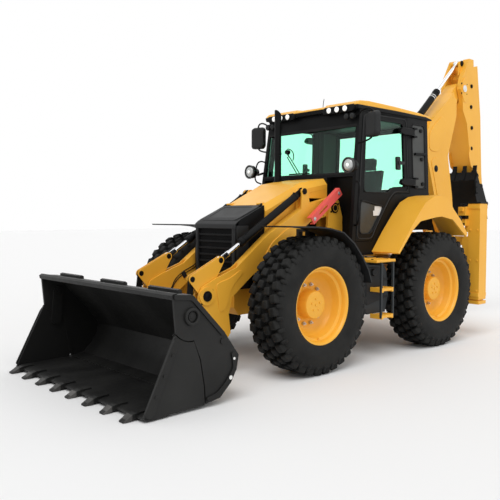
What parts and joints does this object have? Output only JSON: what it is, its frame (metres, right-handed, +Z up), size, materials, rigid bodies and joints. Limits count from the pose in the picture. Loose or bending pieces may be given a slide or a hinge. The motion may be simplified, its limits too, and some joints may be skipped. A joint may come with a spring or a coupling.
{
  "type": "backhoe loader",
  "caption": "Backhoe loader with equal wheels, a lifting front bucket with an opening jaw, a glazed cab and a folded rear digging arm on a side-shift frame",
  "frame": {"origin": "Middle of the machine's footprint on the ground: the bottom centre of its bounding box.", "axes": "X to the machine's left, Y to its rear along the wheelbase, Z up. The machine faces -Y."},
  "size_m": [2.436, 7.399, 4.034],
  "materials": {
    "yellow_paint": "semi-gloss",
    "black_paint": "satin",
    "red_paint": "semi-gloss",
    "tyre_rubber": "matt",
    "chrome_rod": "polished",
    "cab_glazing": "clear green tint",
    "dark_trim": "matt",
    "cast_block": "rough",
    "grey_castings": "satin"
  },
  "bodies": {
    "chassis": {"chassis_rails": "yellow_paint", "chassis_crossings": "yellow_paint", "loader_towers": "yellow_paint", "rear_frame": "yellow_paint", "stabiliser_housings": "yellow_paint", "axles": "grey_castings", "engine_block": "cast_block", "side_tanks": "black_paint", "steps": "yellow_paint", "nose": "black_paint", "cab_floor": "black_paint", "cab_wheel_boxes": "black_paint", "cab_bulkhead": "black_paint", "cab_body": "black_paint", "cab_glass": "cab_glazing", "cab_interior": "dark_trim", "cab_roof": "yellow_paint", "rear_fenders": "yellow_paint", "exhaust": "black_paint", "safety_strut": "red_paint"},
    "hood": {"hood": "yellow_paint"},
    "left_door": {"left_door": "black_paint"},
    "right_door": {"right_door": "black_paint"},
    "loader": {"loader_arms": "yellow_paint"},
    "lift_barrels": {"lift_barrels": "black_paint"},
    "lift_rods": {"lift_rods": "chrome_rod"},
    "tilt_levers": {"tilt_levers": "yellow_paint"},
    "tilt_links": {"tilt_links": "black_paint"},
    "tilt_barrels": {"tilt_barrels": "black_paint"},
    "tilt_rods": {"tilt_rods": "chrome_rod"},
    "loader_bucket": {"loader_bucket": "black_paint"},
    "bucket_jaw": {"bucket_jaw": "black_paint"},
    "hoe_carriage": {"hoe_carriage": "yellow_paint"},
    "swing_post": {"swing_post": "yellow_paint"},
    "boom": {"boom": "yellow_paint"},
    "boom_barrel": {"boom_barrel": "black_paint"},
    "boom_rod": {"boom_rod": "chrome_rod"},
    "outer_stick": {"outer_stick": "yellow_paint"},
    "stick_barrel": {"stick_barrel": "black_paint"},
    "stick_rod": {"stick_rod": "chrome_rod"},
    "inner_stick": {"inner_stick": "yellow_paint"},
    "hoe_bucket": {"hoe_bucket": "black_paint"},
    "guide_links": {"guide_links": "black_paint"},
    "hoe_bucket_links": {"hoe_bucket_links": "black_paint"},
    "hoe_bucket_barrel": {"hoe_bucket_barrel": "black_paint"},
    "hoe_bucket_rod": {"hoe_bucket_rod": "chrome_rod"},
    "left_stabiliser_leg": {"left_stabiliser_leg": "yellow_paint"},
    "right_stabiliser_leg": {"right_stabiliser_leg": "yellow_paint"},
    "front_left_knuckle": {"front_left_knuckle": "grey_castings"},
    "front_left_wheel": {"front_left_rim": "yellow_paint", "front_left_tyre": "tyre_rubber"},
    "front_right_knuckle": {"front_right_knuckle": "grey_castings"},
    "front_right_wheel": {"front_right_rim": "yellow_paint", "front_right_tyre": "tyre_rubber"},
    "rear_left_knuckle": {"rear_left_knuckle": "grey_castings"},
    "rear_left_wheel": {"rear_left_rim": "yellow_paint", "rear_left_tyre": "tyre_rubber"},
    "rear_right_knuckle": {"rear_right_knuckle": "grey_castings"},
    "rear_right_wheel": {"rear_right_rim": "yellow_paint", "rear_right_tyre": "tyre_rubber"}
  },
  "joints": [
    {"name": "front_left_steer", "type": "hinge", "parent": "chassis", "child": "front_left_knuckle", "pos_m": [0.72, -1.3945, 0.705], "axis": [0, 0, 1], "range_deg": [-17, 17]},
    {"name": "front_left_wheel_spin", "type": "hinge", "parent": "front_left_knuckle", "child": "front_left_wheel", "pos_m": [0.945, -1.3945, 0.705], "axis": [1, 0, 0], "continuous": true},
    {"name": "front_right_steer", "type": "hinge", "parent": "chassis", "child": "front_right_knuckle", "pos_m": [-0.72, -1.3945, 0.705], "axis": [0, 0, 1], "range_deg": [-17.5, 17.5]},
    {"name": "front_right_wheel_spin", "type": "hinge", "parent": "front_right_knuckle", "child": "front_right_wheel", "pos_m": [-0.945, -1.3945, 0.705], "axis": [1, 0, 0], "continuous": true},
    {"name": "rear_left_steer", "type": "hinge", "parent": "chassis", "child": "rear_left_knuckle", "pos_m": [0.72, 0.8055, 0.705], "axis": [0, 0, 1], "range_deg": [-17, 17]},
    {"name": "rear_left_wheel_spin", "type": "hinge", "parent": "rear_left_knuckle", "child": "rear_left_wheel", "pos_m": [0.945, 0.8055, 0.705], "axis": [1, 0, 0], "continuous": true},
    {"name": "rear_right_steer", "type": "hinge", "parent": "chassis", "child": "rear_right_knuckle", "pos_m": [-0.72, 0.8055, 0.705], "axis": [0, 0, 1], "range_deg": [-17.5, 17.5]},
    {"name": "rear_right_wheel_spin", "type": "hinge", "parent": "rear_right_knuckle", "child": "rear_right_wheel", "pos_m": [-0.945, 0.8055, 0.705], "axis": [1, 0, 0], "continuous": true},
    {"name": "loader_lift", "type": "hinge", "parent": "chassis", "child": "loader", "pos_m": [0, -0.5245, 1.7], "axis": [-1, 0, 0], "range_deg": [-4, 74]},
    {"name": "lift_barrel_swing", "type": "hinge", "parent": "chassis", "child": "lift_barrels", "pos_m": [0, -0.4445, 0.88], "axis": [-1, 0, 0], "range_deg": [-3.43, 45.93]},
    {"name": "lift_rod_slide", "type": "slide", "parent": "lift_barrels", "child": "lift_rods", "axis": [0, -0.9548, 0.2972], "range_m": [-0.0506, 0.7619]},
    {"name": "bucket_tilt", "type": "hinge", "parent": "loader", "child": "loader_bucket", "pos_m": [0, -2.4945, 0.385], "axis": [1, 0, 0], "range_deg": [-30, 115]},
    {"name": "tilt_lever_swing", "type": "hinge", "parent": "loader", "child": "tilt_levers", "pos_m": [0, -2.3845, 0.829], "axis": [1, 0, 0], "range_deg": [-22.58, 83.73]},
    {"name": "tilt_link_swing", "type": "hinge", "parent": "tilt_levers", "child": "tilt_links", "pos_m": [0, -2.5345, 1], "axis": [1, 0, 0], "range_deg": [-78.35, 21.18]},
    {"name": "tilt_barrel_swing", "type": "hinge", "parent": "loader", "child": "tilt_barrels", "pos_m": [0, -0.9945, 1.88], "axis": [1, 0, 0], "range_deg": [-9.11, 3.12]},
    {"name": "tilt_rod_slide", "type": "slide", "parent": "tilt_barrels", "child": "tilt_rods", "axis": [0, -0.8569, -0.5156], "range_m": [-0.1176, 0.4225]},
    {"name": "jaw_open", "type": "hinge", "parent": "loader_bucket", "child": "bucket_jaw", "pos_m": [0, -3.1145, 0.79], "axis": [-1, 0, 0], "range_deg": [0, 60]},
    {"name": "hood_open", "type": "hinge", "parent": "chassis", "child": "hood", "pos_m": [0, -1.4605, 1.739], "axis": [1, 0, 0], "range_deg": [0, 50]},
    {"name": "left_door_open", "type": "hinge", "parent": "chassis", "child": "left_door", "pos_m": [0.79548, 0.6855, 1.9], "axis": [0, 0, 1], "range_deg": [0, 75]},
    {"name": "right_door_open", "type": "hinge", "parent": "chassis", "child": "right_door", "pos_m": [-0.79548, 0.6855, 1.9], "axis": [0, 0, -1], "range_deg": [0, 75]},
    {"name": "side_shift", "type": "slide", "parent": "chassis", "child": "hoe_carriage", "axis": [1, 0, 0], "range_m": [-0.55, 0.55]},
    {"name": "hoe_swing", "type": "hinge", "parent": "hoe_carriage", "child": "swing_post", "pos_m": [0, 2.1955, 0.52], "axis": [0, 0, 1], "range_deg": [-90, 90]},
    {"name": "boom_lower", "type": "hinge", "parent": "swing_post", "child": "boom", "pos_m": [0, 2.6305, 0.76], "axis": [-1, 0, 0], "range_deg": [0, 100]},
    {"name": "boom_barrel_swing", "type": "hinge", "parent": "swing_post", "child": "boom_barrel", "pos_m": [0, 2.4055, 1.1], "axis": [-1, 0, 0], "range_deg": [-1, 109.91]},
    {"name": "boom_rod_slide", "type": "slide", "parent": "boom_barrel", "child": "boom_rod", "axis": [0, -0.1644, 0.9864], "range_m": [-0.01, 0.5851]},
    {"name": "stick_swing", "type": "hinge", "parent": "boom", "child": "outer_stick", "pos_m": [0, 2.9335, 3.554], "axis": [1, 0, 0], "range_deg": [0, 92]},
    {"name": "stick_barrel_swing", "type": "hinge", "parent": "boom", "child": "stick_barrel", "pos_m": [0, 1.9355, 3.02], "axis": [1, 0, 0], "range_deg": [-1, 7.08]},
    {"name": "stick_rod_slide", "type": "slide", "parent": "stick_barrel", "child": "stick_rod", "axis": [0, 0.7482, 0.6635], "range_m": [-0.586, 0.01]},
    {"name": "stick_extension", "type": "slide", "parent": "outer_stick", "child": "inner_stick", "axis": [0, 0.0367, -0.9993], "range_m": [0, 1.05]},
    {"name": "hoe_bucket_curl", "type": "hinge", "parent": "inner_stick", "child": "hoe_bucket", "pos_m": [0, 3.5255, 1.76], "axis": [1, 0, 0], "range_deg": [0, 140]},
    {"name": "guide_link_swing", "type": "hinge", "parent": "inner_stick", "child": "guide_links", "pos_m": [0, 3.4955, 2.08], "axis": [1, 0, 0], "range_deg": [-1, 83.47]},
    {"name": "hoe_bucket_link_swing", "type": "hinge", "parent": "guide_links", "child": "hoe_bucket_links", "pos_m": [0, 3.6555, 1.8], "axis": [1, 0, 0], "range_deg": [-62.39, 1]},
    {"name": "hoe_bucket_barrel_swing", "type": "hinge", "parent": "inner_stick", "child": "hoe_bucket_barrel", "pos_m": [0, 3.3355, 3.6], "axis": [1, 0, 0], "range_deg": [-1, 10.1]},
    {"name": "hoe_bucket_rod_slide", "type": "slide", "parent": "hoe_bucket_barrel", "child": "hoe_bucket_rod", "axis": [0, 0.175, -0.9846], "range_m": [-0.3509, 0.01]},
    {"name": "left_stabiliser", "type": "slide", "parent": "chassis", "child": "left_stabiliser_leg", "axis": [0, 0, -1], "range_m": [0, 0.55]},
    {"name": "right_stabiliser", "type": "slide", "parent": "chassis", "child": "right_stabiliser_leg", "axis": [0, 0, -1], "range_m": [0, 0.55]}
  ],
  "couplings": [
    {"joint": "front_right_steer", "follows": "front_left_steer", "ratio": 1},
    {"joint": "rear_right_steer", "follows": "rear_left_steer", "ratio": 1},
    {"joint": "lift_barrel_swing", "follows": "loader_lift", "ratio": 0.6071},
    {"joint": "lift_rod_slide", "follows": "loader_lift", "m_per_rad": 0.5822},
    {"joint": "tilt_lever_swing", "follows": "bucket_tilt", "ratio": 0.7194},
    {"joint": "tilt_link_swing", "follows": "bucket_tilt", "ratio": -0.6726},
    {"joint": "tilt_barrel_swing", "follows": "bucket_tilt", "ratio": -0.0705},
    {"joint": "tilt_rod_slide", "follows": "bucket_tilt", "m_per_rad": 0.2055},
    {"joint": "boom_barrel_swing", "follows": "boom_lower", "ratio": 1.0891},
    {"joint": "boom_rod_slide", "follows": "boom_lower", "m_per_rad": 0.3295},
    {"joint": "stick_barrel_swing", "follows": "stick_swing", "ratio": 0.0661},
    {"joint": "stick_rod_slide", "follows": "stick_swing", "m_per_rad": -0.3587},
    {"joint": "guide_link_swing", "follows": "hoe_bucket_curl", "ratio": 0.5891},
    {"joint": "hoe_bucket_link_swing", "follows": "hoe_bucket_curl", "ratio": -0.4385},
    {"joint": "hoe_bucket_barrel_swing", "follows": "hoe_bucket_curl", "ratio": 0.065},
    {"joint": "hoe_bucket_rod_slide", "follows": "hoe_bucket_curl", "m_per_rad": -0.1395}
  ]
}
